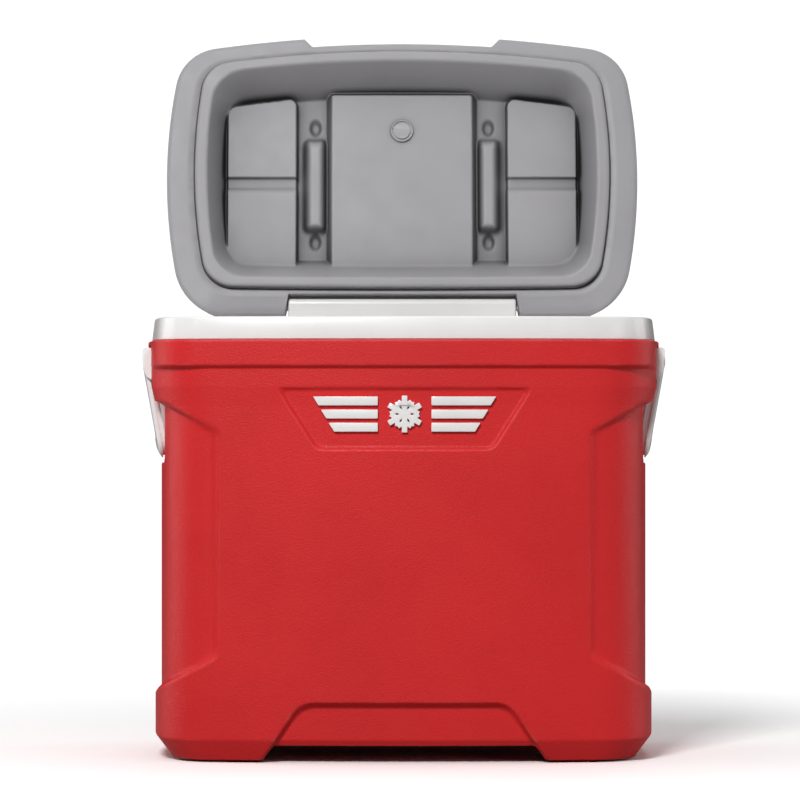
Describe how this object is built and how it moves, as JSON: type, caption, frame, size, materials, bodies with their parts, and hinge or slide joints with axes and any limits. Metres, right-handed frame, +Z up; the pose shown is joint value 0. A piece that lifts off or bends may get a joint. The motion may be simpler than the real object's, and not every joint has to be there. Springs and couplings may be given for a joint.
{
  "type": "hard-sided cooler with hinged lid",
  "caption": "Hard-sided picnic cooler with an insulated body, a lid hinged at the rear that stands open, and a swing-up handle on each side.",
  "frame": {"origin": "on the ground, under the middle of the whole cooler's box with its lid open", "axes": "+X to the cooler's right-hand side as seen from its front, -Y out of its front, +Z up"},
  "size_m": [0.4776, 0.3343, 0.6772],
  "materials": {
    "red_shell": "fine pebble-grained red polyethylene",
    "white_liner": "smooth white moulded plastic",
    "white_trim": "smooth white moulded plastic",
    "grey_lid": "satin mid-grey moulded plastic",
    "foam": "closed-cell foam, pale cream",
    "steel": "plain stainless steel"
  },
  "bodies": {
    "body": {"body_shell": "red_shell", "body_liner": "white_liner", "body_foam": "foam", "base_fill_plug": "white_trim", "badge": "white_trim", "hinge_block": "white_trim", "hinge_block_screws": "steel", "hinge_pin_left": "white_trim", "hinge_pin_right": "white_trim", "right_front_bracket": "white_trim", "right_front_handle_pin": "steel", "right_rear_bracket": "white_trim", "right_rear_handle_pin": "steel", "right_bracket_screws": "steel", "left_front_bracket": "white_trim", "left_front_handle_pin": "steel", "left_rear_bracket": "white_trim", "left_rear_handle_pin": "steel", "left_bracket_screws": "steel"},
    "lid": {"lid_shell": "grey_lid", "lid_liner": "grey_lid", "lid_foam": "foam", "lid_fill_plug": "grey_lid"},
    "right_handle": {"right_handle": "white_trim"},
    "left_handle": {"left_handle": "white_trim"}
  },
  "joints": [
    {"name": "lid_hinge", "type": "hinge", "parent": "body", "child": "lid", "pos_m": [0, 0.1048, 0.4162], "axis": [1, 0, 0], "range_deg": [0, 100]},
    {"name": "right_handle_swing", "type": "hinge", "parent": "body", "child": "right_handle", "pos_m": [0.2321, -0.0212, 0.3595], "axis": [0, -1, 0], "range_deg": [0, 140]},
    {"name": "left_handle_swing", "type": "hinge", "parent": "body", "child": "left_handle", "pos_m": [-0.2321, -0.0212, 0.3595], "axis": [0, 1, 0], "range_deg": [0, 140]}
  ]
}
